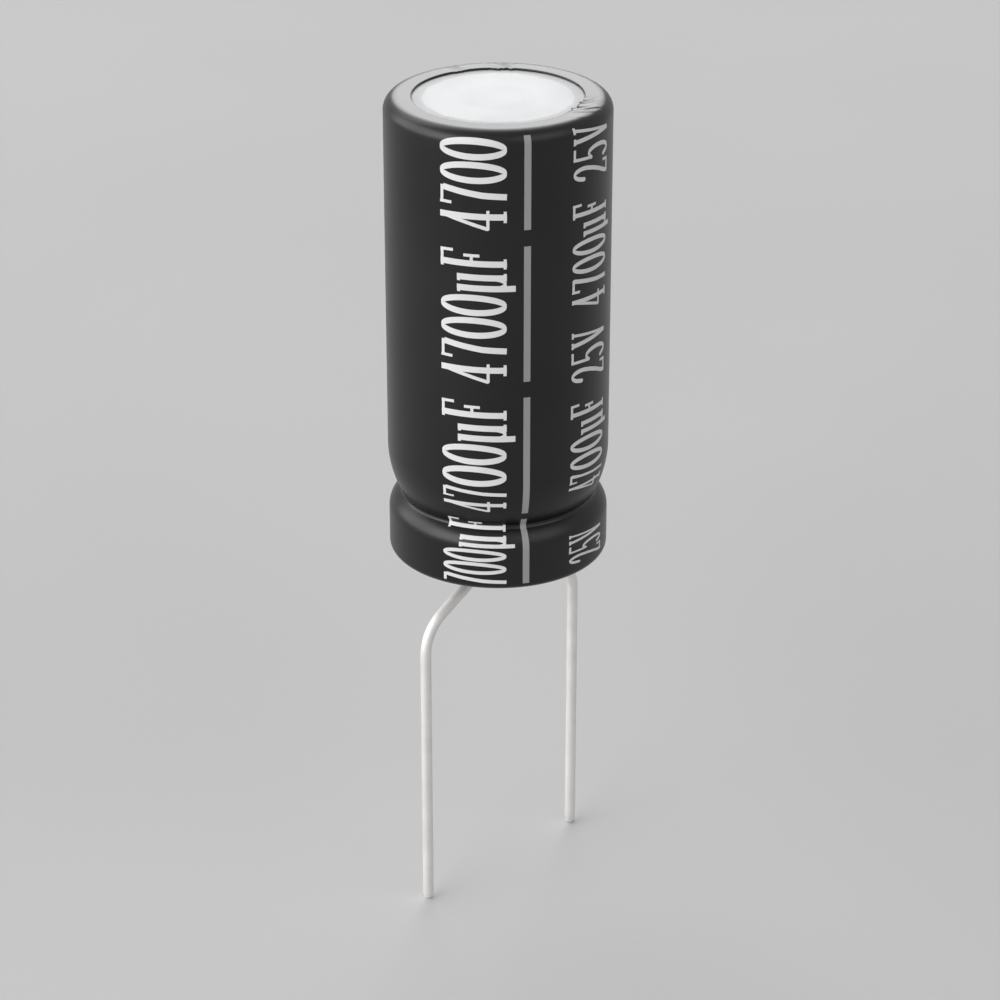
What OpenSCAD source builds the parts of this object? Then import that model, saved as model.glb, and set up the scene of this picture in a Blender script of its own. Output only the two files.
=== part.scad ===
// Radial electrolytic capacitor: a drawn aluminium can, rolled in over a rubber bung,
// with a shrunk-on insulating sleeve and two formed wire leads.
// The origin is the centre of the seating plane, +Z runs up the can, and the leads
// lie in the XZ plane, the cathode at -X, on the printed line's side, and the anode at +X.

/* [Body] */
// Diameter over the sleeve
body_d = 16; // [14:0.1:20]
// Height over the sleeve, from the seating plane to the top lip
body_h = 34.45; // [28:0.05:45]
// Radius of the top shoulder, over the sleeve
shoulder_r = 0.95; // [0.7:0.05:1.5]
// Wall of the drawn can
can_wall = 0.4; // [0.3:0.05:0.5]

/* [Closure] */
// Height of the rolled groove's narrowest line
groove_z = 4.7; // [4.4:0.1:5.5]
// Depth of the rolled groove
groove_depth = 0.93; // [0.5:0.01:1.1]
// Radius at the bottom of the groove, over the sleeve
groove_r = 0.28; // [0.2:0.02:0.5]
// Radius with which the wall draws in above the groove
neck_r = 7.6; // [5:0.1:9]
// Radius of the bead under the groove, over the sleeve
bead_r = 1.5; // [1.2:0.1:2]
// How much narrower the closed ring under the groove is than the body, on the radius
ring_in = 0.04; // [0:0.01:0.6]
// Radius of the bottom edge, over the sleeve
foot_r = 0.52; // [0.3:0.02:0.8]
// How far the can's mouth is rolled in under the bung
curl_reach = 1.5; // [1.3:0.1:1.8]
// How far the rolled edge bites up into the rubber
curl_bite = 1.1; // [0.9:0.05:1.4]

/* [Sleeve] */
// Wall of the shrunk sleeve
sleeve_t = 0.15; // [0.1:0.01:0.2]
// How far the sleeve folds in over the top
top_lip = 1.98; // [1.6:0.01:3]
// How far the sleeve folds in under the bottom
foot_lip = 1.1; // [0.9:0.05:1.3]

/* [Polarity print] */
// Width of the dashed line
dash_w = 0.48; // [0.4:0.02:1]
// Turn of the line about the can
dash_turn = 239.5; // [180:0.1:359]
// Height of the ink's face over the film
ink_t = 0.02; // [0.01:0.005:0.05]
// Clearance between the ink and the film under it
ink_gap = 0.002; // [0.001:0.001:0.005]
// Distance from the top lip down to the dashed line's top end
dash_top = 0.3; // [0.1:0.05:1.5]
// Height of the dashed line's bottom end
dash_foot = 0.5; // [0.3:0.05:1]
// Length of a dash with the gap after it
dash_pitch = 11.24; // [8:0.01:14]
// Gap between two dashes
dash_gap = 1.2; // [0.5:0.05:2]
// Distance from the top lip to the middle of the first gap
dash_first = 7.58; // [5:0.01:9]
// Height of the middle of the gap inside the groove
dash_groove_z = 5.58; // [5:0.01:6.5]
// Gap at the groove, where the sleeve has shrunk further
dash_groove_gap = 0.57; // [0.2:0.01:1]

/* [Bung] */
// Height of the bung's foot above the seating plane
bung_foot = 0.3; // [0.2:0.05:0.6]
// Height of the bung's top above the seating plane
bung_top = 7.6; // [7:0.1:8.5]
// Clearance between a lead and its hole in the rubber
wire_gap = 0.05; // [0.02:0.01:0.1]
// Depth of the funnel where each lead leaves the rubber
funnel_depth = 0.3; // [0.1:0.05:0.5]
// Width of the funnel's slope on the radius
funnel_slope = 0.4; // [0.2:0.05:0.6]

/* [Winding] */
// Clearance between the winding and the can wall
winding_gap = 0.35; // [0.3:0.05:0.6]
// Clearance between the winding and the can's closed end
winding_end_gap = 0.1; // [0.05:0.05:0.3]
// Height of the winding's lower end above the seating plane
winding_z = 10.2; // [9.6:0.1:12]
// Diameter of the hole that the mandrel leaves
mandrel_d = 2.4; // [1.6:0.1:3]
// How far the paper stands out past the foil at each end
paper_margin = 0.6; // [0.3:0.1:1]
// Thickness of a band of turns at the open ends
turn_band = 0.62; // [0.5:0.01:0.9]
// Thickness of the closing tape
tape_t = 0.08; // [0.05:0.01:0.12]
// Width of the closing tape
tape_w = 16; // [10:1:17]

/* [Tabs] */
// Diameter of the round boss that passes through the bung
boss_d = 2.2; // [1.8:0.1:2.6]
// Height of the weld between boss and lead above the seating plane
weld_z = 1.4; // [1.1:0.1:2]
// Thickness of the flat tab
tab_t = 0.3; // [0.2:0.05:0.4]
// Width of the flat tab
tab_w = 2.4; // [1.8:0.1:3]
// Length of tab that is stitched in between the turns
tab_reach = 17; // [10:1:17]

/* [Leads] */
// Diameter of the leads
lead_d = 0.8; // [0.6:0.05:1]
// Distance between the leads where they leave the bung
pitch = 5; // [4:0.1:7]
// Distance from the seating plane down to the lead tips
lead_len = 27.6; // [15:0.1:40]
// Distance from the can's axis to the formed anode lead
anode_reach = 8.02; // [7:0.02:9]
// Distance from the can's axis to the formed cathode lead
cathode_reach = 7.48; // [7:0.02:9]
// Depth of the upper corner, where the lead turns outwards
knee_drop = 2.13; // [1.6:0.01:2.4]
// Depth of the lower corner, where the lead turns down again
elbow_drop = 4.79; // [4.5:0.01:6]
// Radius of the upper bend at the middle of the wire
knee_r = 0.9; // [0.8:0.05:1.5]
// Radius of the lower bend at the middle of the wire
elbow_r = 3.1; // [1.5:0.1:3.3]
// Length of the slightly tapered tip
tip_len = 0.6; // [0.4:0.05:1]
// Narrowing of the tip on the radius
tip_taper = 0.04; // [0.02:0.01:0.1]
// Radius of the tip's edge
tip_r = 0.16; // [0.1:0.01:0.2]

/* [Hidden] */

$fn = 96;
ARC_STEPS = 8;
NECK_STEPS = 12;
ANODE_SIDE = 1;
CATHODE_SIDE = -1;

body_r = body_d / 2;
ring_r = body_r - ring_in;
waist_r = body_r - groove_depth;
lead_r = lead_d / 2;
boss_r = boss_d / 2;
hole_x = pitch / 2;
can_out = sleeve_t;
can_in = sleeve_t + can_wall;
can_top_in = body_h - can_in;

// Centres of the arcs that meet smoothly at the groove
groove_c = [waist_r + groove_r, groove_z];
neck_c = [body_r - neck_r, groove_z + rise(groove_r + neck_r, groove_c[0] - body_r + neck_r)];
bead_c = [ring_r - bead_r, groove_z - rise(groove_r + bead_r, groove_c[0] - ring_r + bead_r)];
neck_a = turn_of(groove_c - neck_c);
bead_a = turn_of(groove_c - bead_c);

// The wire is a little thinner through a bend, and the straight wire reaches over each bend's ends
bend_thin = 0.004;

// The rolled mouth
mouth_r = ring_r - can_out - curl_reach;
curl_bend = foot_r;
curl_top = can_out + curl_bite;

// The winding
winding_r = body_r - can_in - winding_gap;
winding_top = can_top_in - winding_end_gap;
band_count = floor((winding_r - mandrel_d / 2) / (2 * turn_band));
tape_z = (winding_z + winding_top - tape_w) / 2;

// The tab's flat starts above the bung, where the forged boss has thinned out
shoulder_z = bung_top + 0.4;
flat_z = winding_z - 0.4;

function grip(radius) = sqrt(bend_thin * radius);
function rise(hypotenuse, run) = sqrt(hypotenuse * hypotenuse - run * run);
function turn_of(v) = atan2(v[1], v[0]);

// Points along an arc, both ends included
function arc(centre, radius, from, to, steps) =
    [for (i = [0:steps]) centre + radius * [cos(from + (to - from) * i / steps),
                                            sin(from + (to - from) * i / steps)]];

// A corner that is rounded where its radius is more than nothing
function corner(centre, radius, from, to, sharp) =
    radius > 0.02 ? arc(centre, radius, from, to, ARC_STEPS) : [sharp];

// The body's wall at a depth under the outside of the sleeve, from the foot to the shoulder
function wall_line(depth) = concat(
    corner([ring_r - foot_r, foot_r], foot_r - depth, -90, 0, [ring_r - depth, depth]),
    arc(bead_c, bead_r - depth, 0, bead_a, ARC_STEPS),
    arc(groove_c, groove_r + depth, bead_a + 180, neck_a + 180, ARC_STEPS),
    arc(neck_c, neck_r - depth, neck_a, 0, NECK_STEPS),
    corner([body_r - shoulder_r, body_h - shoulder_r], shoulder_r - depth, 0, 90,
           [body_r - depth, body_h - depth]));

function backwards(points) = [for (i = [len(points) - 1:-1:0]) points[i]];

// The part of the mouth that turns up into the rubber, seen from outside and from inside
function curl_line() = concat(
    [[mouth_r, curl_top]],
    arc([mouth_r + curl_bend, can_out + curl_bend], curl_bend, 180, 270, ARC_STEPS));
function curl_back_line() = concat(
    corner([mouth_r + curl_bend, can_out + curl_bend], curl_bend - can_wall, 270, 180,
           [mouth_r + can_wall, can_in]),
    [[mouth_r + can_wall, curl_top]]);

module sleeve() {
    outside = wall_line(0);
    inside = wall_line(sleeve_t);
    color([0.06, 0.06, 0.065])
        rotate_extrude()
            polygon(concat(
                [[ring_r - foot_lip, 0]], outside, [[body_r - top_lip, body_h]],
                [[body_r - top_lip, body_h - sleeve_t]], backwards(inside),
                [[ring_r - foot_lip, sleeve_t]]));
}

module can() {
    color([0.86, 0.87, 0.88])
        rotate_extrude()
            polygon(concat(
                curl_line(), wall_line(can_out), [[0, body_h - can_out]],
                [[0, can_top_in]], backwards(wall_line(can_in)), curl_back_line()));
}

// The rubber fills the closure from wall to wall, so it takes the groove's and the curl's shape
module bung_blank() {
    closure = [for (p = wall_line(can_in)) if (p[1] < bung_top) p];
    top_r = neck_c[0] + rise(neck_r - can_in, bung_top - neck_c[1]);
    rotate_extrude()
        polygon(concat(
            [[0, bung_foot], [mouth_r + curl_bend - rise(curl_bend, can_out + curl_bend - bung_foot), bung_foot]],
            backwards([for (p = curl_line()) if (p[1] > bung_foot) p]),
            backwards(curl_back_line()), closure,
            [[top_r, bung_top], [0, bung_top]]));
}

module rubber_bung() {
    color([0.16, 0.15, 0.15])
        difference() {
            bung_blank();
            for (side = [ANODE_SIDE, CATHODE_SIDE]) {
                translate([side * hole_x, 0, weld_z])
                    cylinder(r = boss_r, h = bung_top);
                translate([side * hole_x, 0, 0])
                    cylinder(r = lead_r + wire_gap, h = bung_top);
                translate([side * hole_x, 0, bung_foot])
                    cylinder(r1 = lead_r + wire_gap + funnel_slope, r2 = lead_r + wire_gap,
                             h = funnel_depth);
            }
        }
}

// The foil and paper roll, with the paper standing proud in bands at both ends
module roll() {
    core_r = mandrel_d / 2;
    band = (winding_r - core_r) / (2 * band_count + 1);
    teeth = [for (i = [0:band_count]) let (r = core_r + 2 * i * band) each
             [[r, paper_margin], [r, 0], [r + band, 0], [r + band, paper_margin]]];
    low = [for (p = teeth) [p[0], winding_z + p[1]]];
    high = [for (p = teeth) [p[0], winding_top - p[1]]];
    rotate_extrude()
        polygon(concat(low, backwards(high)));
}

module tab_slot(side) {
    translate([side * hole_x - tab_t / 2, -tab_w / 2, winding_z - paper_margin])
        cube([tab_t, tab_w, paper_margin + tab_reach]);
}

module wound_element() {
    color([0.78, 0.72, 0.60])
        difference() {
            roll();
            tab_slot(ANODE_SIDE);
            tab_slot(CATHODE_SIDE);
        }
}

module element_tape() {
    color([0.90, 0.86, 0.70, 0.8])
        translate([0, 0, tape_z])
            difference() {
                cylinder(r = winding_r + tape_t, h = tape_w);
                translate([0, 0, -1])
                    cylinder(r = winding_r, h = tape_w + 2);
            }
}

// A round boss, forged flat towards the winding and stitched in between the turns
module tab(side) {
    color([0.80, 0.81, 0.82])
        translate([side * hole_x, 0, 0]) {
            translate([0, 0, weld_z])
                cylinder(r = boss_r, h = shoulder_z - weld_z);
            intersection() {
                translate([0, tab_w / 2, 0])
                    rotate([90, 0, 0])
                        linear_extrude(tab_w)
                            polygon([[-boss_r, shoulder_z], [boss_r, shoulder_z],
                                     [tab_t / 2, flat_z], [-tab_t / 2, flat_z]]);
                translate([-boss_r, 0, 0])
                    rotate([90, 0, 90])
                        linear_extrude(boss_d)
                            polygon([[-boss_r, shoulder_z], [boss_r, shoulder_z],
                                     [tab_w / 2, flat_z], [-tab_w / 2, flat_z]]);
            }
            translate([-tab_t / 2, -tab_w / 2, flat_z])
                cube([tab_t, tab_w, winding_z + tab_reach - flat_z]);
        }
}

module anode_tab() {
    tab(ANODE_SIDE);
}

module cathode_tab() {
    tab(CATHODE_SIDE);
}

// A straight stretch of wire between two points of the XZ plane, given as [x, z]
module wire(from, to) {
    run = to - from;
    translate([from[0], 0, from[1]])
        rotate([0, atan2(run[0], run[1]), 0])
            cylinder(r = lead_r, h = norm(run));
}

// A bend of the wire in the XZ plane about a centre [x, z], swept from one angle
module bend(centre, radius, from, sweep) {
    translate([centre[0], 0, centre[1]])
        rotate([90, 0, 0])
            rotate([0, 0, from])
                rotate_extrude(angle = sweep)
                    translate([radius, 0])
                        circle(r = lead_r - bend_thin);
}

// The straight end of a lead, upright on its tip, which tapers slightly to a rounded edge
module pin(height) {
    end_r = lead_r - tip_taper;
    rotate_extrude()
        polygon(concat(
            [[0, height], [lead_r, height], [lead_r, tip_len], [end_r, tip_r]],
            arc([end_r - tip_r, tip_r], tip_r, 0, -90, ARC_STEPS), [[0, 0]]));
}

// The lead as it is formed for its board: straight down, out at a slant and down again
module formed_lead(reach) {
    knee = [hole_x, -knee_drop];
    elbow = [reach, -elbow_drop];
    slant = (elbow - knee) / norm(elbow - knee);
    lean = atan2(slant[0], -slant[1]);
    knee_cut = knee_r * tan(lean / 2);
    elbow_cut = elbow_r * tan(lean / 2);
    knee_hold = knee_cut - grip(knee_r);
    elbow_hold = elbow_cut - grip(elbow_r);
    color([0.80, 0.79, 0.77]) {
        wire([hole_x, weld_z], knee + [0, knee_hold]);
        bend(knee + [knee_r, knee_cut], knee_r, 180, lean);
        wire(knee + slant * knee_hold, elbow - slant * elbow_hold);
        bend(elbow - [elbow_r, elbow_cut], elbow_r, 0, lean);
        translate([reach, 0, -lead_len])
            pin(lead_len - elbow_drop - elbow_hold);
    }
}

module anode_lead() {
    formed_lead(anode_reach);
}

module cathode_lead() {
    mirror([1, 0, 0])
        formed_lead(cathode_reach);
}

// A layer of ink that follows the sleeve along the can
module ink_line() {
    sweep = dash_w / body_r * 180 / PI;
    rotate([0, 0, dash_turn - sweep / 2])
        rotate_extrude(angle = sweep)
            polygon(concat(wall_line(-ink_t), backwards(wall_line(-ink_gap))));
}

module polarity_dashes() {
    gaps = concat(
        [for (z = [body_h - dash_first:-dash_pitch:dash_groove_z + dash_pitch / 2]) [z, dash_gap]],
        [[dash_groove_z, dash_groove_gap]]);
    tops = concat([body_h - dash_top], [for (g = gaps) g[0] - g[1] / 2]);
    feet = concat([for (g = gaps) g[0] + g[1] / 2], [dash_foot]);
    color([0.55, 0.55, 0.55])
        for (i = [0:len(tops) - 1])
            intersection() {
                ink_line();
                translate([-body_d, -body_d, feet[i]])
                    cube([2 * body_d, 2 * body_d, tops[i] - feet[i]]);
            }
}

sleeve();
can();
rubber_bung();
wound_element();
element_tape();
anode_tab();
cathode_tab();
anode_lead();
cathode_lead();
polarity_dashes();
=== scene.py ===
import math

import bpy
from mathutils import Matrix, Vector
from mathutils import noise
from mathutils.geometry import delaunay_2d_cdt


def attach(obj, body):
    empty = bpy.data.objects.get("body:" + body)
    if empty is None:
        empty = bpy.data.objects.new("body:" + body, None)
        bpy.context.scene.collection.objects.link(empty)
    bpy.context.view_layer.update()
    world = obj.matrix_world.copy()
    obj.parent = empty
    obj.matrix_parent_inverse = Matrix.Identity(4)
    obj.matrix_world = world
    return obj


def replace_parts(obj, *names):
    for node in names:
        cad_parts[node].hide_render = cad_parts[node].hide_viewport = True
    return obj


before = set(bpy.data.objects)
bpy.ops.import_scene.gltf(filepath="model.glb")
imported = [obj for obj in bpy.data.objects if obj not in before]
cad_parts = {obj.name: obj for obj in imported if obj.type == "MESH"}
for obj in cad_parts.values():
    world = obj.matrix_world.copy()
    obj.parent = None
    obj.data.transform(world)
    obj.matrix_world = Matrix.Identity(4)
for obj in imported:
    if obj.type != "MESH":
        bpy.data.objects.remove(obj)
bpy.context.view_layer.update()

MM = 0.001

# Sizes of the capacitor in millimetres, as the solids have them
BODY_R = 8.0
BODY_H = 34.45
SHOULDER_R = 0.95
GROOVE_Z = 4.7
GROOVE_DEPTH = 0.93
GROOVE_R = 0.28
NECK_R = 7.6
BEAD_R = 1.5
RING_R = 7.96
FOOT_R = 0.52
CURL_REACH = 1.5
CURL_BITE = 1.1
SLEEVE_T = 0.15
CAN_WALL = 0.4
TOP_LIP = 1.98
FOOT_LIP = 1.1
LEAD_R = 0.4
HOLE_X = 2.5
WELD_Z = 1.4
KNEE_DROP = 2.13
KNEE_R = 0.9
ELBOW_DROP = 4.79
ELBOW_R = 3.1
LEAD_LEN = 27.6
ANODE_REACH = 8.02
CATHODE_REACH = 7.48
TIP_LEN = 0.6
TIP_TAPER = 0.04

# The edge of a lead's tip is rounder than the solid's, as in the photograph
TIP_R = 0.30

SHOULDER_X = BODY_R - SHOULDER_R
SHOULDER_Z = BODY_H - SHOULDER_R

# The photograph's view in millimetres, radians and pixels: the camera looks down at the can's axis
CAMERA_AWAY = 212.42
CAMERA_HEIGHT = 105.9
CAMERA_TURN = math.radians(225)
CAMERA_PITCH = 0.44969
LENS_PIXELS = 3217.5
AXIS_PIXEL = 498.1
IMAGE_SIZE = 1000
SENSOR_WIDTH = 36
NEAREST = 5

# Turn of the printed line from the front, and of the baselines of the two bands
FRONT = CAMERA_TURN
DASH_TURN = math.radians(14.5)
LEFT_BASE_TURN = math.radians(4.3)
RIGHT_BASE_TURN = math.radians(68.4)

# Width of the printed line, and its gaps, each as the height of its middle and its length
DASH_W = 0.48
DASH_GAPS = [(26.87, 1.2), (15.63, 1.2), (5.58, 0.57)]

# Figures of each band in millimetres: their box, the step to the next, and the width of their strokes
LEFT_FIGURES = {"height": 4.7, "width": 1.46, "advance": 1.68, "thin": 0.21, "thick": 0.44}
RIGHT_FIGURES = {"height": 4.0, "width": 1.16, "advance": 1.36, "thin": 0.19, "thick": 0.31, "slant": 0.2}

# Words of each band, and where they start on the even strip
LEFT_WORDS = "4700uF"
LEFT_START = 4.9
LEFT_REPEAT = 11.3
RIGHT_WORDS = [("25V", -3.6), ("4700uF 25V 4700uF 25V", 5.5)]

# The ink stands proud of the film and reaches a little way into it
INK_T = 0.02
INK_SINK = 0.004

# Facets of the ink: along the can, finer below the bend and at the shoulder, and round the can;
# the fine stretch starts a margin under the shoulder, and cuts overshoot the strokes by it
INK_FINE = 0.08
INK_COARSE = 0.3
INK_ROUND = 0.42
INK_BEND_Z = 6.2
INK_MARGIN = 0.1

# Strokes: the step between their points and how fast they swell as they turn upright; an end gets
# a dot, a little smaller than the stroke, unless it runs this nearly along or across the strip
STROKE_STEP = 0.16
STROKE_SWELL = 1.6
STROKE_SQUARE = 0.985
DOT_SIDES = 14
DOT_SHARE = 0.999
SAME_SPOT = 1e-4

# Output and tolerance of the triangulation that joins the strokes
ALL_TRIANGLES = 0
JOIN_GAP = 1e-5

# Below this height the sleeve has shrunk further, and the print with it, which ends at these heights
DRAW_Z = 8.0
DRAW_IN = 0.61
PRINT_TOP = 34.15
PRINT_FOOT = 0.5

# Outside this radius the bare top is rougher, and is painted a little darker as painted shade where the
# highlight on the top fades; the ring's edge is ragged and soft
RIM_R = 5.27
RIM_BLUR = 0.06
RIM_RAGGED = 0.5

# Across this band of radius the film turns from stretched and glossier, on the lip, to plain
TIGHT_BAND = (SHOULDER_X - 0.1, SHOULDER_X + 0.3)
TIGHT_SHARE = 0.62

# The shrunk film is crinkled on its lip at these turns from the front: middle, half width, depth in mm
CRINKLES = [(math.radians(67), math.radians(26), 0.07),
            (math.radians(178), math.radians(14), 0.045),
            (math.radians(-153), math.radians(8), 0.05)]

# Folds of the crinkled film: how close they lie, their lean across the lip, and how far they pull its edge
FOLD_RATE = 2.5
FOLD_STRETCH = 0.7
FOLD_LAYER = 2.0
FOLD_LEAN = 1.3
FOLD_LEVEL = 0.45
FOLD_PULL = 6.0
FOLD_R = BODY_R - 0.3
FOLD_FADE = 0.4

# The film's edges wander by a little over a narrow band, at the top lip and at the foot
EDGE_RATE = 2.2
LIP_BAND = 0.4
LIP_WANDER = 0.05
FOOT_BAND = 0.3
FOOT_WANDER = 0.06
FOOT_PLACE = Vector((5, 3, 1))

# Steps round the can in degrees for plain and crinkled film, the least gap left before the full turn
# in radians, and the number of sides of the shell under it
PLAIN_STEP = 1.5
CRINKLED_STEP = 0.55
LAST_GAP = 0.005
SHELL_SIDES = 256

# Points along the wall's outline, and rings on the flat of the shell's top, outside and inside
CORNER_STEPS = 10
BEAD_STEPS = 16
GROOVE_STEPS = 14
NECK_STEPS = 28
WALL_STEP = 1.0
LIP_ROWS = 8
HEM_STEPS = 8
CURL_STEPS = 12
CURL_BACK_STEPS = 8
SMALLEST_CORNER = 0.02
CROWN_RADII = (6.6, 6.2, 5.6, 4.6, 3.4, 2.2, 1.0)
ROOF_RADII = (1.0, 3.0, 5.0)

# Rings along each stretch of a lead, and points round it
STUB_HEIGHTS = (WELD_Z, 0.6, -0.4, -1.0)
KNEE_RINGS = 16
SLANT_RINGS = 5
ELBOW_RINGS = 24
LEG_RINGS = 12
TIP_RINGS = 4
END_RINGS = 8
END_TURN = -88
LEAD_SIDES = 32

# Mesh faces that meet at more than this many degrees keep a sharp edge
SHARP_ANGLE = 40

# A point nearer the axis than this lies on it
ON_AXIS = 1e-6

# Most of a noise texture's values lie between these
NOISE_LOW = 0.3
NOISE_HIGH = 0.7

# Strength of the even surroundings as light and as they are seen
FILL_LEVEL = 0.26
BACK_LEVEL = 0.56

# Soft lamps: turn from the camera, height, and half width and half height in degrees, then radiance
LAMPS = {
    "back_panel": (180, 22, (14, 11), 3.0),
    "upper_panel": (-160, 47, (26, 15), 1.9),
    "left_panel": (-75, 25, (48, 22), 2.5),
    "near_panel": (-50, 21, (24, 17), 1.6),
    "front_panel": (50, 35, (24, 20), 0.9),
}

# The lamps' aim and distance in metres
LAMP_AIM = Vector((0, 0, 0.012))
LAMP_AWAY = 2.5

# The floor is a disc, in millimetres
FLOOR_R = 1500
FLOOR_SIDES = 96


def arc(centre, radius, start, end, steps):
    """Points along an arc, both ends included, with angles in degrees."""
    points = []
    for i in range(steps + 1):
        a = math.radians(start + (end - start) * i / steps)
        points.append((centre[0] + radius * math.cos(a), centre[1] + radius * math.sin(a)))
    return points


def rise(hypotenuse, run):
    """The third side of a right triangle."""
    return math.sqrt(hypotenuse * hypotenuse - run * run)


# Centres of the groove's, neck's and bead's arcs, and the angles at which they touch
GROOVE_C = (BODY_R - GROOVE_DEPTH + GROOVE_R, GROOVE_Z)
NECK_C = (BODY_R - NECK_R, GROOVE_Z + rise(GROOVE_R + NECK_R, GROOVE_C[0] - BODY_R + NECK_R))
BEAD_C = (RING_R - BEAD_R, GROOVE_Z - rise(GROOVE_R + BEAD_R, GROOVE_C[0] - RING_R + BEAD_R))
NECK_A = math.degrees(math.atan2(GROOVE_C[1] - NECK_C[1], GROOVE_C[0] - NECK_C[0]))
BEAD_A = math.degrees(math.atan2(GROOVE_C[1] - BEAD_C[1], GROOVE_C[0] - BEAD_C[0]))


def corner(centre, radius, start, end, sharp):
    """Points of a rounded corner, or its sharp point where the radius is too small."""
    return arc(centre, radius, start, end, CORNER_STEPS) if radius > SMALLEST_CORNER else [sharp]


def straight(low, high, radius):
    """Points up a straight wall, without its ends."""
    count = max(1, round((high - low) / WALL_STEP))
    return [(radius, low + (high - low) * i / count) for i in range(1, count)]


def wall_line(depth):
    """The body's outline at a depth under the sleeve's outside, from the foot to the shoulder."""
    foot = corner((RING_R - FOOT_R, FOOT_R), FOOT_R - depth, -90, 0, (RING_R - depth, depth))
    bead = arc(BEAD_C, BEAD_R - depth, 0, BEAD_A, BEAD_STEPS)
    groove = arc(GROOVE_C, GROOVE_R + depth, BEAD_A + 180, NECK_A + 180, GROOVE_STEPS)
    neck = arc(NECK_C, NECK_R - depth, NECK_A, 0, NECK_STEPS)
    top = corner((SHOULDER_X, SHOULDER_Z), SHOULDER_R - depth, 0, 90, (BODY_R - depth, BODY_H - depth))
    return (foot + straight(FOOT_R, BEAD_C[1], RING_R - depth) + bead + groove[1:] + neck[1:]
            + straight(NECK_C[1], SHOULDER_Z, BODY_R - depth) + top)


OUTLINE = wall_line(0.0)


def outside_radius(z):
    """Radius of the sleeve's outside at a height."""
    for (r0, z0), (r1, z1) in zip(OUTLINE, OUTLINE[1:]):
        if z0 <= z <= z1 and z1 > z0:
            return r0 + (r1 - r0) * (z - z0) / (z1 - z0)
    return BODY_R


def new_object(name, verts, faces, material):
    """A piece of the capacitor from points in millimetres."""
    mesh = bpy.data.meshes.new(name)
    mesh.from_pydata([Vector(v) * MM for v in verts], [], faces)
    mesh.validate()
    mesh.shade_smooth()
    mesh.set_sharp_from_angle(angle=math.radians(SHARP_ANGLE))
    obj = bpy.data.objects.new(name, mesh)
    bpy.context.scene.collection.objects.link(obj)
    mesh.materials.append(material)
    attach(obj, "root")
    return obj


def even_turns(count):
    """Evenly spaced turns about the axis, in radians."""
    return [2 * math.pi * i / count for i in range(count)]


def lathe(name, outline, material, turns, shift=None):
    """Turns a closed outline of (radius, height) about the axis; shift moves a point a little."""
    verts = []
    faces = []
    rows = []
    segments = len(turns)
    for r, z in outline:
        if r < ON_AXIS:
            rows.append([len(verts)])
            verts.append((0.0, 0.0, z))
            continue
        row = []
        for turn in turns:
            rr, zz = shift(r, z, turn) if shift else (r, z)
            row.append(len(verts))
            verts.append((rr * math.cos(turn), rr * math.sin(turn), zz))
        rows.append(row)
    for low, high in zip(rows, rows[1:] + rows[:1]):
        if len(low) == 1 and len(high) == 1:
            continue
        for i in range(segments):
            j = (i + 1) % segments
            if len(low) == 1:
                faces.append((low[0], high[j], high[i]))
            elif len(high) == 1:
                faces.append((low[i], low[j], high[0]))
            else:
                faces.append((low[i], low[j], high[j], high[i]))
    return new_object(name, verts, faces, material)


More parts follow.
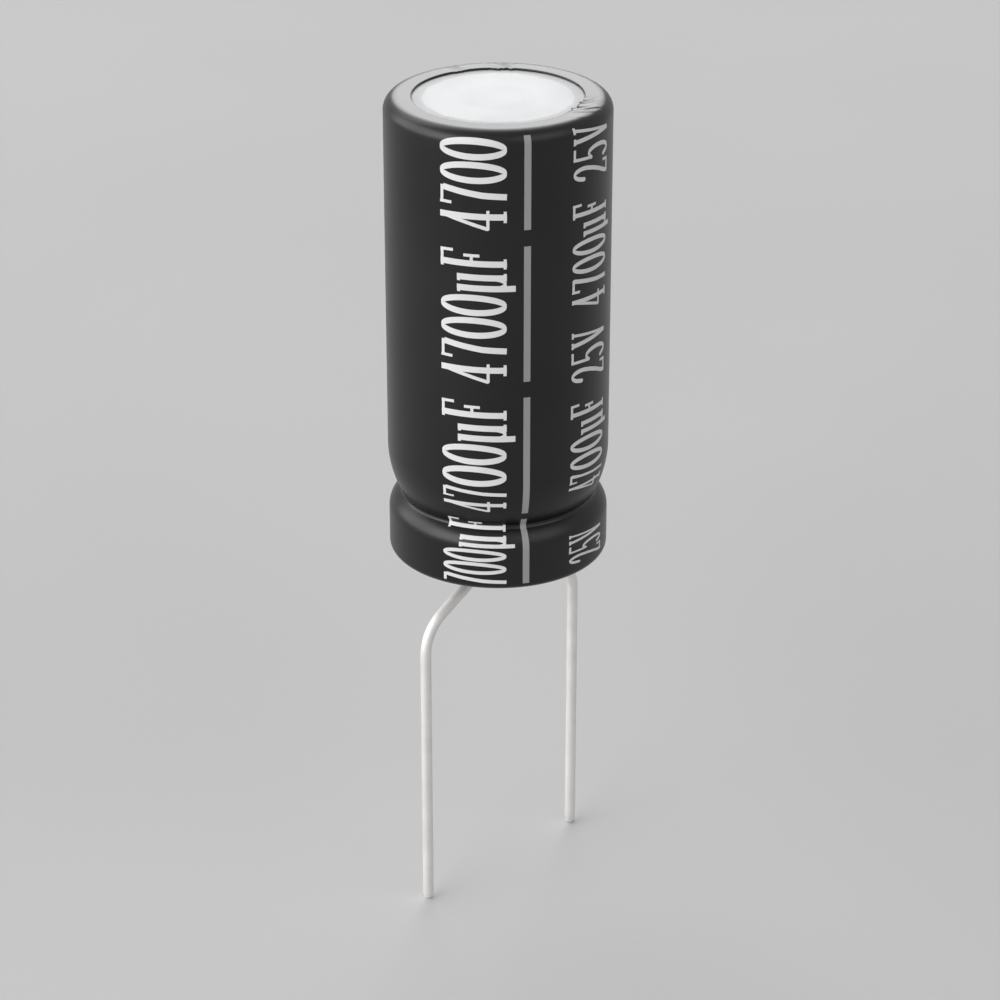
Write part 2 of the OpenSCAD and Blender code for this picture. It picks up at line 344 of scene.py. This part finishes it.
class Nodes:
    """Builds a node material a step at a time."""

    def __init__(self, name):
        self.material = bpy.data.materials.new(name)
        self.material.use_nodes = True
        self.tree = self.material.node_tree
        self.shader = self.tree.nodes["Principled BSDF"]
        self.place = self.tree.nodes.new("ShaderNodeTexCoord").outputs["Object"]

    def link(self, a, b):
        self.tree.links.new(a, b)

    def scaled(self, vector):
        node = self.tree.nodes.new("ShaderNodeMapping")
        node.inputs["Scale"].default_value = vector
        self.link(self.place, node.inputs["Vector"])
        return node.outputs["Vector"]

    def noise(self, scale, detail=3.0, rough=0.5, stretch=(1, 1, 1)):
        node = self.tree.nodes.new("ShaderNodeTexNoise")
        node.inputs["Scale"].default_value = scale
        node.inputs["Detail"].default_value = detail
        node.inputs["Roughness"].default_value = rough
        self.link(self.scaled(stretch), node.inputs["Vector"])
        return node.outputs["Fac"]

    def radius(self):
        """Distance from the axis."""
        node = self.tree.nodes.new("ShaderNodeVectorMath")
        node.operation = "LENGTH"
        self.link(self.scaled((1, 1, 0)), node.inputs[0])
        return node.outputs["Value"]

    def radial(self, scale, detail):
        """Noise that runs in rings about the axis."""
        node = self.tree.nodes.new("ShaderNodeTexNoise")
        node.noise_dimensions = "1D"
        node.inputs["Scale"].default_value = scale
        node.inputs["Detail"].default_value = detail
        self.link(self.radius(), node.inputs["W"])
        return node.outputs["Fac"]

    def ramp(self, value, low, high):
        """A colour between two plain colours."""
        node = self.tree.nodes.new("ShaderNodeValToRGB")
        node.color_ramp.elements[0].position = NOISE_LOW
        node.color_ramp.elements[1].position = NOISE_HIGH
        node.color_ramp.elements[0].color = (*low, 1)
        node.color_ramp.elements[1].color = (*high, 1)
        self.link(value, node.inputs["Fac"])
        return node.outputs["Color"]

    def map(self, value, sizes):
        node = self.tree.nodes.new("ShaderNodeMapRange")
        for name, number in zip(("From Min", "From Max", "To Min", "To Max"), sizes):
            node.inputs[name].default_value = number
        self.link(value, node.inputs["Value"])
        return node.outputs["Result"]

    def spread(self, value, low, high):
        """Noise spread between two values."""
        return self.map(value, (NOISE_LOW, NOISE_HIGH, low, high))

    def across(self, value, low, high, under, over):
        """A value that changes between two lengths in millimetres."""
        return self.map(value, (low * MM, high * MM, under, over))

    def math(self, operation, a, b):
        node = self.tree.nodes.new("ShaderNodeMath")
        node.operation = operation
        for number, value in enumerate((a, b)):
            if isinstance(value, (int, float)):
                node.inputs[number].default_value = value
            else:
                self.link(value, node.inputs[number])
        return node.outputs[0]

    def blend(self, factor, low, high):
        """A colour between two colours, each an output or a plain colour."""
        node = self.tree.nodes.new("ShaderNodeMix")
        node.data_type = "RGBA"
        self.link(factor, node.inputs["Factor"])
        for name, value in (("A", low), ("B", high)):
            socket = [i for i in node.inputs if i.name == name and i.type == "RGBA"][0]
            if isinstance(value, tuple):
                socket.default_value = (*value, 1)
            else:
                self.link(value, socket)
        return [o for o in node.outputs if o.type == "RGBA"][0]

    def bump(self, heights):
        """Stacks bumps, each given as (height, distance in millimetres)."""
        last = None
        for height, distance in heights:
            node = self.tree.nodes.new("ShaderNodeBump")
            node.inputs["Strength"].default_value = 1.0
            node.inputs["Distance"].default_value = distance * MM
            self.link(height, node.inputs["Height"])
            if last:
                self.link(last, node.inputs["Normal"])
            last = node.outputs["Normal"]
        self.link(last, self.shader.inputs["Normal"])

    def set(self, **values):
        """Sets numbers on the shader's own sockets."""
        for name, value in values.items():
            self.shader.inputs[name.replace("_", " ")].default_value = value

    def colour(self, output):
        self.link(output, self.shader.inputs["Base Color"])

    def roughness(self, output):
        self.link(output, self.shader.inputs["Roughness"])


def sleeve_material():
    """Satin black film, slightly cloudy, with an orange peel and fine draw lines."""
    m = Nodes("sleeve_film")
    cloud = m.noise(90, detail=4, rough=0.6)
    peel = m.noise(1400, detail=2)
    draw = m.noise(900, rough=0.6, stretch=(1, 1, 0.06))
    tight = m.across(m.radius(), *TIGHT_BAND, TIGHT_SHARE, 1.0)
    m.colour(m.ramp(cloud, (0.003, 0.003, 0.0033), (0.0065, 0.0065, 0.007)))
    m.roughness(m.math("MULTIPLY", m.spread(cloud, 0.31, 0.37), tight))
    m.set(Specular_IOR_Level=0.40)
    m.bump([(peel, 0.0012), (draw, 0.0016)])
    return m.material


def can_material():
    """Bright aluminium with fine turned rings, and a rougher ring round its top whose slightly darker
    colour and ragged edge are painted shade.
    """
    m = Nodes("can_aluminium")
    rings = m.radial(7500, detail=4)
    broad = m.radial(500, detail=2)
    cloud = m.noise(160)
    ragged = m.noise(1500, rough=0.7)
    stray = m.math("MULTIPLY", m.math("SUBTRACT", ragged, 0.5), RIM_RAGGED * MM)
    edge = m.math("ADD", m.radius(), stray)
    rim = m.across(edge, RIM_R - RIM_BLUR, RIM_R + RIM_BLUR, 0.0, 1.0)
    turned = m.math("ADD", m.math("MULTIPLY", broad, 0.6), m.math("MULTIPLY", rings, 0.4))
    bright = m.ramp(turned, (0.49, 0.495, 0.50), (0.545, 0.55, 0.555))
    # the rim's slightly darker colour is painted shade where the highlight on the top fades; its added
    # roughness is finish
    m.colour(m.blend(rim, bright, (0.48, 0.485, 0.49)))
    worn = m.math("MULTIPLY", m.math("SUBTRACT", rings, 0.5), 0.12)
    rough = m.math("ADD", m.spread(cloud, 0.59, 0.67), worn)
    m.roughness(m.math("ADD", rough, m.math("MULTIPLY", rim, 0.08)))
    m.set(Metallic=1.0)
    m.bump([(rings, 0.0045), (cloud, 0.004)])
    return m.material


def rubber_material():
    """Matt moulded rubber."""
    m = Nodes("seal_rubber")
    grain = m.noise(2600, rough=0.7)
    cloud = m.noise(260)
    m.colour(m.ramp(cloud, (0.020, 0.019, 0.018), (0.042, 0.040, 0.038)))
    m.roughness(m.spread(grain, 0.62, 0.82))
    m.set(Specular_IOR_Level=0.35)
    m.bump([(grain, 0.008), (cloud, 0.02)])
    return m.material


def wire_material():
    """Soft tin plate with faint streaks along the wire."""
    m = Nodes("tinned_wire")
    streak = m.noise(1500, rough=0.6, stretch=(1, 1, 0.05))
    cloud = m.noise(420, rough=0.6)
    m.colour(m.ramp(cloud, (0.72, 0.712, 0.698), (0.79, 0.782, 0.768)))
    m.roughness(m.spread(streak, 0.62, 0.72))
    m.set(Metallic=0.9)
    m.bump([(streak, 0.0020), (cloud, 0.003)])
    return m.material


def ink_material(name, low, high):
    """Printed ink, slightly specked."""
    m = Nodes(name)
    speck = m.noise(1800, rough=0.7)
    cloud = m.noise(200)
    m.colour(m.ramp(cloud, low, high))
    m.roughness(m.spread(speck, 0.42, 0.55))
    m.set(Specular_IOR_Level=0.3)
    m.bump([(speck, 0.003)])
    return m.material


def paper_material():
    """Ends of the wound paper and foil."""
    m = Nodes("winding_paper")
    turns = m.radial(5200, detail=2)
    cloud = m.noise(300, detail=4)
    m.colour(m.ramp(turns, (0.50, 0.42, 0.28), (0.74, 0.67, 0.52)))
    m.roughness(m.spread(cloud, 0.65, 0.85))
    m.bump([(turns, 0.02), (cloud, 0.01)])
    return m.material


def tape_material():
    """Glossy yellowish film tape."""
    m = Nodes("closing_tape")
    cloud = m.noise(240)
    m.colour(m.ramp(cloud, (0.70, 0.60, 0.36), (0.80, 0.71, 0.48)))
    m.roughness(m.spread(cloud, 0.18, 0.30))
    m.bump([(cloud, 0.006)])
    return m.material


def tab_material():
    """Dull forged aluminium with marks along the tab."""
    m = Nodes("tab_aluminium")
    forge = m.noise(1200, rough=0.6, stretch=(1, 1, 0.1))
    m.colour(m.ramp(forge, (0.74, 0.745, 0.75), (0.84, 0.845, 0.85)))
    m.roughness(m.spread(forge, 0.35, 0.5))
    m.set(Metallic=1.0)
    m.bump([(forge, 0.004)])
    return m.material


def crinkled(turn):
    """How deep the film is crinkled at a turn about the axis, in mm, with a soft start and end."""
    depth = 0.0
    for middle, half, deep in CRINKLES:
        away = abs((turn - FRONT - middle + math.pi) % (2 * math.pi) - math.pi)
        share = max(0.0, 1 - away / half)
        depth += deep * share * share * (3 - 2 * share)
    return depth


def film_turns():
    """Turns about the axis, closer together where the film is crinkled."""
    turns = []
    turn = 0.0
    while turn < 2 * math.pi - LAST_GAP:
        turns.append(turn)
        turn += math.radians(CRINKLED_STEP if crinkled(turn) > 0 else PLAIN_STEP)
    return turns


def make_sleeve(material):
    """The shrunk film: its folded edges are rounded and run slightly unevenly."""
    inner = BODY_R - TOP_LIP
    under = RING_R - FOOT_LIP
    half = SLEEVE_T / 2
    flat = [(SHOULDER_X + (inner + half - SHOULDER_X) * i / LIP_ROWS, BODY_H) for i in range(1, LIP_ROWS)]
    outside = OUTLINE + flat
    lip = arc((inner + half, BODY_H - half), half, 90, 270, HEM_STEPS)
    inside = list(reversed(wall_line(SLEEVE_T)))
    hem = arc((under + half, half), half, 90, 270, HEM_STEPS)
    outline = outside + lip + inside + hem

    def uneven(r, z, turn):
        at = Vector((math.cos(turn) * EDGE_RATE, math.sin(turn) * EDGE_RATE, 0.0))
        if z > BODY_H - 2 * SLEEVE_T and r < FOLD_R:
            depth = crinkled(turn)
            run = turn * BODY_R - FOLD_LEAN * (r - inner)
            spot = Vector((run * FOLD_RATE, r * FOLD_STRETCH, FOLD_LAYER))
            fold = max(0.0, FOLD_LEVEL + noise.noise(spot))
            if z > BODY_H - half:
                z -= depth * fold * min(1.0, (FOLD_R - r) / FOLD_FADE)
            share = max(0.0, (inner + LIP_BAND - r) / LIP_BAND)
            return r + share * (LIP_WANDER * noise.noise(at) - FOLD_PULL * depth * fold), z
        if z < 2 * SLEEVE_T and r < under + FOOT_BAND:
            share = (under + FOOT_BAND - r) / FOOT_BAND
            return r + FOOT_WANDER * share * noise.noise(at + FOOT_PLACE), z
        return r, z

    piece = lathe("sleeve_film", outline, material, film_turns(), uneven)
    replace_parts(piece, "sleeve")


def make_can(material):
    """The drawn shell, closed at the top and rolled in under the bung."""
    mouth = RING_R - SLEEVE_T - CURL_REACH
    inside_depth = SLEEVE_T + CAN_WALL
    top = SLEEVE_T + CURL_BITE
    bend_c = (mouth + FOOT_R, SLEEVE_T + FOOT_R)
    curl = [(mouth, top)] + arc(bend_c, FOOT_R, 180, 270, CURL_STEPS)
    back = arc(bend_c, FOOT_R - CAN_WALL, 270, 180, CURL_BACK_STEPS) + [(mouth + CAN_WALL, top)]
    crown = [(r, BODY_H - SLEEVE_T) for r in CROWN_RADII]
    roof = [(r, BODY_H - inside_depth) for r in ROOF_RADII]
    outer = curl + wall_line(SLEEVE_T) + crown + [(0.0, BODY_H - SLEEVE_T)]
    inner = [(0.0, BODY_H - inside_depth)] + roof + list(reversed(wall_line(inside_depth))) + back
    piece = lathe("can_shell", outer + inner, material, even_turns(SHELL_SIDES))
    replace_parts(piece, "can")


def lead_path(reach):
    """Centre line of a formed lead in its own plane, as (x, z, radius)."""
    knee = Vector((HOLE_X, -KNEE_DROP))
    elbow = Vector((reach, -ELBOW_DROP))
    slant = (elbow - knee).normalized()
    lean = math.atan2(slant.x, -slant.y)
    knee_cut = KNEE_R * math.tan(lean / 2)
    elbow_cut = ELBOW_R * math.tan(lean / 2)
    points = [(HOLE_X, z) for z in STUB_HEIGHTS]
    centre = knee + Vector((KNEE_R, knee_cut))
    points += arc(centre, KNEE_R, 180, 180 + math.degrees(lean), KNEE_RINGS)
    start = knee + slant * knee_cut
    end = elbow - slant * elbow_cut
    points += [tuple(start.lerp(end, i / SLANT_RINGS)) for i in range(1, SLANT_RINGS)]
    centre = elbow - Vector((ELBOW_R, elbow_cut))
    points += arc(centre, ELBOW_R, math.degrees(lean), 0, ELBOW_RINGS)
    foot = -LEAD_LEN + TIP_LEN
    top = -ELBOW_DROP - elbow_cut
    points += [(reach, top + (foot - top) * i / LEG_RINGS) for i in range(1, LEG_RINGS + 1)]
    path = [(x, z, LEAD_R) for x, z in points]
    end_r = LEAD_R - TIP_TAPER
    for i in range(1, TIP_RINGS):
        share = i / TIP_RINGS
        path.append((reach, foot - (TIP_LEN - TIP_R) * share, LEAD_R - TIP_TAPER * share))
    for r, z in arc((end_r - TIP_R, TIP_R), TIP_R, 0, END_TURN, END_RINGS):
        path.append((reach, -LEAD_LEN + z, r))
    return path


def make_lead(name, node, side, reach, material):
    """A formed lead, swept along its path, on one side of the can."""
    path = lead_path(reach)
    verts = []
    faces = []
    for i, (x, z, r) in enumerate(path):
        before = path[max(0, i - 1)]
        after = path[min(len(path) - 1, i + 1)]
        run = Vector((after[0] - before[0], after[1] - before[1]))
        run.normalize()
        across = Vector((-run.y, run.x))
        for k in range(LEAD_SIDES):
            a = 2 * math.pi * k / LEAD_SIDES
            dx = across.x * math.cos(a) * r
            dz = across.y * math.cos(a) * r
            verts.append((side * (x + dx), math.sin(a) * r, z + dz))
    for i in range(len(path) - 1):
        low = i * LEAD_SIDES
        high = low + LEAD_SIDES
        for k in range(LEAD_SIDES):
            n = (k + 1) % LEAD_SIDES
            quad = (low + k, high + k, high + n, low + n)
            faces.append(quad if side > 0 else quad[::-1])
    top = tuple(range(LEAD_SIDES))
    tip = tuple(range((len(path) - 1) * LEAD_SIDES, len(path) * LEAD_SIDES))
    faces.append(top if side > 0 else top[::-1])
    faces.append(tip[::-1] if side > 0 else tip)
    piece = new_object(name, verts, faces, material)
    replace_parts(piece, node)


def bow(cx, cy, rx, ry, start, end, steps):
    """Points along part of an ellipse, with angles in degrees."""
    points = []
    for i in range(steps + 1):
        a = math.radians(start + (end - start) * i / steps)
        points.append((cx + rx * math.cos(a), cy + ry * math.sin(a)))
    return points


# Each stroke is its weight, from thin 0 to full 1, and its points in a box one wide and one high;
# the letter u stands for the micro sign
GLYPHS = {
    "0": [(1, bow(0.5, 0.5, 0.38, 0.475, 90, 450, 48))],
    "2": [(1, [(0.13, 0.75)] + bow(0.48, 0.745, 0.33, 0.225, 165, -25, 22)
           + [(0.68, 0.50), (0.48, 0.31), (0.22, 0.12), (0.16, 0.03)]),
          (0, [(0.08, 0.025), (0.92, 0.025)]), (0, [(0.88, 0.0), (0.90, 0.17)])],
    "4": [(0.2, [(0.66, 0.97), (0.36, 0.60), (0.07, 0.285)]), (0, [(0.03, 0.275), (0.98, 0.275)]),
          (1, [(0.66, 1.0), (0.66, 0.0)]), (0, [(0.38, 0.025), (0.94, 0.025)])],
    "5": [(0, [(0.20, 0.975), (0.88, 0.975)]), (0.25, [(0.24, 1.0), (0.22, 0.75), (0.20, 0.55)]),
          (1, [(0.20, 0.56), (0.30, 0.60)] + bow(0.47, 0.325, 0.37, 0.30, 95, -140, 28)
           + [(0.12, 0.16)])],
    "7": [(0, [(0.08, 0.97), (0.92, 0.97)]), (0, [(0.13, 1.0), (0.11, 0.82)]),
          (1, [(0.84, 0.95), (0.69, 0.66), (0.56, 0.36), (0.50, 0.0)])],
    "V": [(1, [(0.17, 0.98), (0.50, 0.02)]), (0.1, [(0.86, 0.98), (0.54, 0.02)]),
          (0, [(-0.02, 0.975), (0.38, 0.975)]), (0, [(0.66, 0.975), (1.02, 0.975)])],
    "F": [(1, [(0.30, 1.0), (0.30, 0.0)]), (0, [(0.06, 0.025), (0.56, 0.025)]),
          (0, [(0.06, 0.975), (0.92, 0.975)]), (0, [(0.88, 1.0), (0.90, 0.80)]),
          (0, [(0.30, 0.52), (0.70, 0.52)]), (0, [(0.70, 0.64), (0.70, 0.40)])],
    "u": [(1, [(0.22, 0.74), (0.22, -0.13)]),
          (0.5, [(0.24, 0.22)] + bow(0.47, 0.17, 0.24, 0.145, 190, 350, 16)),
          (1, [(0.76, 0.74), (0.76, 0.0)]), (0, [(0.76, 0.025), (0.98, 0.025)]),
          (0, [(0.0, 0.715), (0.22, 0.715)]), (0, [(0.55, 0.715), (0.76, 0.715)])],
}


def resample(points):
    """Points along a stroke at an even step, so that the ink can follow the sleeve."""
    spots = [Vector(p) for p in points]
    out = [spots[0]]
    for a, b in zip(spots, spots[1:]):
        count = max(1, math.ceil((b - a).length / STROKE_STEP))
        out += [a.lerp(b, i / count) for i in range(1, count + 1)]
    return out


def stroke_shapes(points, thin, thick):
    """Outlines that together fill a stroke: thick where it runs upright, thin where it lies."""
    looped = (points[0] - points[-1]).length < SAME_SPOT
    rows = []
    for i, p in enumerate(points):
        run = points[min(i + 1, len(points) - 1)] - points[max(i - 1, 0)]
        if looped and i in (0, len(points) - 1):
            run = points[1] - points[-2]
        run.normalize()
        half = (thin + (thick - thin) * abs(run.y) ** STROKE_SWELL) / 2
        rows.append((p, half, run, Vector((-run.y, run.x)) * half))
    shapes = []
    for (p, _, _, a), (q, _, _, b) in zip(rows, rows[1:]):
        shapes.append([p + a, p - a, q - b, q + b])
    for p, half, run, _ in (rows[0], rows[-1]):
        if not looped and max(abs(run.x), abs(run.y)) < STROKE_SQUARE:
            turns = (2 * math.pi * k / DOT_SIDES for k in range(DOT_SIDES))
            shapes.append([p + Vector((math.cos(t), math.sin(t))) * half * DOT_SHARE for t in turns])
    return shapes


def drawn(s):
    """Height on the can of a print that starts as an even strip."""
    return s if s > DRAW_Z else DRAW_Z - (DRAW_Z - s) * DRAW_IN


def laid(z):
    """The place on the even strip of a height on the can."""
    return z if z > DRAW_Z else DRAW_Z - (DRAW_Z - z) / DRAW_IN


def on_sleeve(up, turn, lift):
    """A point at a height and a turn from the front, lifted off the sleeve."""
    r = outside_radius(up) + lift
    a = FRONT + turn
    return (r * math.cos(a), r * math.sin(a), up)


class Ink:
    """Gathers thin closed films of ink that follow the sleeve."""

    def __init__(self):
        self.verts = []
        self.faces = []

    def fill(self, shapes, base_turn):
        """Joins overlapping shapes on the flat strip, cuts them fine and lays them on the sleeve."""
        spots = []
        faces = []
        for shape in shapes:
            faces.append(list(range(len(spots), len(spots) + len(shape))))
            spots += shape
        low = Vector((min(p.x for p in spots), min(p.y for p in spots)))
        high = Vector((max(p.x for p in spots), max(p.y for p in spots)))
        ends = (laid(PRINT_FOOT), laid(PRINT_TOP))
        if high.x < ends[0] or low.x > ends[1]:
            return
        cuts = [e for e in ends if low.x < e < high.x]
        x = low.x
        while x < high.x:
            cuts.append(x)
            curved = drawn(x) < INK_BEND_Z or drawn(x) > SHOULDER_Z - INK_MARGIN
            x += INK_FINE if curved else INK_COARSE
        edges = []
        for x in cuts:
            edges.append((len(spots), len(spots) + 1))
            spots += [Vector((x, low.y - INK_MARGIN)), Vector((x, high.y + INK_MARGIN))]
        rows = math.ceil((high.y - low.y) / INK_ROUND)
        for i in range(1, rows):
            y = low.y + (high.y - low.y) * i / rows
            edges.append((len(spots), len(spots) + 1))
            spots += [Vector((low.x - INK_MARGIN, y)), Vector((high.x + INK_MARGIN, y))]
        joined = delaunay_2d_cdt(spots, edges, faces, ALL_TRIANGLES, JOIN_GAP)
        flat, _, tris, _, _, owners = joined
        kept = []
        for tri, owner in zip(tris, owners):
            middle = sum(flat[v].x for v in tri) / len(tri)
            if owner and ends[0] < middle < ends[1]:
                kept.append(tri)
        used = sorted({v for tri in kept for v in tri})
        top = {v: len(self.verts) + i for i, v in enumerate(used)}
        under = {v: top[v] + len(used) for v in used}
        for lift in (INK_T, -INK_SINK):
            for v in used:
                z = drawn(flat[v].x)
                self.verts.append(on_sleeve(z, base_turn - flat[v].y / BODY_R, lift))
        sides = {}
        for tri in kept:
            self.faces.append(tuple(top[v] for v in reversed(tri)))
            self.faces.append(tuple(under[v] for v in tri))
            for a, b in zip(tri, tri[1:] + tri[:1]):
                if (b, a) in sides:
                    del sides[(b, a)]
                else:
                    sides[(a, b)] = True
        for a, b in sides:
            self.faces.append((top[a], top[b], under[b], under[a]))

    def text(self, words, base_turn, start, height, width, advance, thin, thick, slant=0.0):
        """Figures that read up the can, with their feet towards the right."""
        s = start
        for glyph in words:
            if glyph != " ":
                shapes = []
                for weight, stroke in GLYPHS[glyph]:
                    points = [(s + x * width + y * slant, y * height) for x, y in stroke]
                    heavy = thin + (thick - thin) * weight
                    shapes += stroke_shapes(resample(points), thin, heavy)
                self.fill(shapes, base_turn)
            s += advance

    def bar(self, low, high, turn, width):
        """A straight bar between two heights on the can."""
        half = width / 2
        start = laid(low)
        end = laid(high)
        corners = [(start, -half), (end, -half), (end, half), (start, half)]
        self.fill([[Vector(c) for c in corners]], turn)

    def piece(self, name, material):
        return new_object(name, self.verts, self.faces, material)


def make_print(white, grey):
    """Two bands of figures and the printed line that marks the cathode."""
    left = Ink()
    for number in range(-2, 3):
        left.text(LEFT_WORDS, LEFT_BASE_TURN, LEFT_START + LEFT_REPEAT * number, **LEFT_FIGURES)
    left.piece("rating_band", white)

    right = Ink()
    for words, start in RIGHT_WORDS:
        right.text(words, RIGHT_BASE_TURN, start, **RIGHT_FIGURES)
    right.piece("small_rating_band", white)

    dashes = Ink()
    edges = [PRINT_TOP]
    for middle, gap in DASH_GAPS:
        edges += [middle + gap / 2, middle - gap / 2]
    edges.append(PRINT_FOOT)
    for high, low in zip(edges[::2], edges[1::2]):
        dashes.bar(low, high, DASH_TURN, DASH_W)
    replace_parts(dashes.piece("polarity_line", grey), "polarity_dashes")


def dress_nodes(materials):
    """The pieces inside keep their solids and get their own finish."""
    for node, material in materials.items():
        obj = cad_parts[node]
        obj.data.materials.clear()
        obj.data.materials.append(material)


def make_floor():
    """A plain pale disc that the leads' tips stand on."""
    turns = even_turns(FLOOR_SIDES)
    verts = [(FLOOR_R * math.cos(turn), FLOOR_R * math.sin(turn), -LEAD_LEN) for turn in turns]
    mesh = bpy.data.meshes.new("floor")
    mesh.from_pydata([Vector(v) * MM for v in verts], [], [tuple(range(FLOOR_SIDES))])
    floor = bpy.data.objects.new("floor", mesh)
    bpy.context.scene.collection.objects.link(floor)
    m = Nodes("floor_paper")
    m.colour(m.ramp(m.noise(12), (0.53, 0.53, 0.53), (0.55, 0.55, 0.55)))
    m.set(Roughness=0.9, Specular_IOR_Level=0.1)
    mesh.materials.append(m.material)


def make_world():
    """An even studio: the view and reflections meet the floor's tone, and the rest is a softer fill."""
    world = bpy.data.worlds.new("studio")
    world.use_nodes = True
    tree = world.node_tree
    back = tree.nodes["Background"]
    back.inputs["Color"].default_value = (1, 1, 1, 1)
    path = tree.nodes.new("ShaderNodeLightPath")
    seen = path.outputs["Is Camera Ray"]
    for kind in ("Is Glossy Ray", "Is Transmission Ray"):
        both = tree.nodes.new("ShaderNodeMath")
        both.operation = "MAXIMUM"
        tree.links.new(seen, both.inputs[0])
        tree.links.new(path.outputs[kind], both.inputs[1])
        seen = both.outputs[0]
    level = tree.nodes.new("ShaderNodeMapRange")
    level.inputs["To Min"].default_value = FILL_LEVEL
    level.inputs["To Max"].default_value = BACK_LEVEL
    tree.links.new(seen, level.inputs["Value"])
    tree.links.new(level.outputs["Result"], back.inputs["Strength"])
    bpy.context.scene.world = world


def make_lamp(name, turn, up, spread, radiance):
    """A soft lamp aimed at the can, placed and sized by angles as seen from it."""
    size = [2 * LAMP_AWAY * math.tan(math.radians(half)) for half in spread]
    a = CAMERA_TURN + math.radians(turn)
    e = math.radians(up)
    way = Vector((math.cos(a) * math.cos(e), math.sin(a) * math.cos(e), math.sin(e)))
    spot = LAMP_AIM + way * LAMP_AWAY
    lamp = bpy.data.lights.new(name, "AREA")
    lamp.shape = "RECTANGLE"
    lamp.size = size[0]
    lamp.size_y = size[1]
    lamp.energy = radiance * math.pi * size[0] * size[1]
    obj = bpy.data.objects.new(name, lamp)
    obj.location = spot
    obj.rotation_euler = (LAMP_AIM - spot).to_track_quat("-Z", "Y").to_euler()
    obj.visible_camera = False
    bpy.context.scene.collection.objects.link(obj)


def make_camera():
    """The camera that fits the photograph."""
    data = bpy.data.cameras.new("camera")
    data.sensor_width = SENSOR_WIDTH
    data.lens = SENSOR_WIDTH * LENS_PIXELS / IMAGE_SIZE
    data.shift_x = (IMAGE_SIZE / 2 - AXIS_PIXEL) / IMAGE_SIZE
    data.clip_start = NEAREST * MM
    camera = bpy.data.objects.new("camera", data)
    across = math.cos(CAMERA_TURN)
    along = math.sin(CAMERA_TURN)
    camera.location = Vector((across * CAMERA_AWAY, along * CAMERA_AWAY, CAMERA_HEIGHT)) * MM
    look = Vector((-across, -along, -math.tan(CAMERA_PITCH)))
    camera.rotation_euler = look.to_track_quat("-Z", "Y").to_euler()
    bpy.context.scene.collection.objects.link(camera)
    bpy.context.scene.camera = camera


make_camera()
make_world()
make_floor()
for lamp_name, lamp_place in LAMPS.items():
    make_lamp(lamp_name, *lamp_place)
bpy.context.scene.view_settings.view_transform = "Standard"

wire = wire_material()
make_sleeve(sleeve_material())
make_can(can_material())
make_lead("anode_wire", "anode_lead", 1, ANODE_REACH, wire)
make_lead("cathode_wire", "cathode_lead", -1, CATHODE_REACH, wire)
make_print(ink_material("white_ink", (0.68, 0.68, 0.68), (0.73, 0.73, 0.73)),
           ink_material("grey_ink", (0.29, 0.29, 0.29), (0.32, 0.32, 0.32)))
tab = tab_material()
dress_nodes({"rubber_bung": rubber_material(), "wound_element": paper_material(),
             "element_tape": tape_material(), "anode_tab": tab, "cathode_tab": tab})
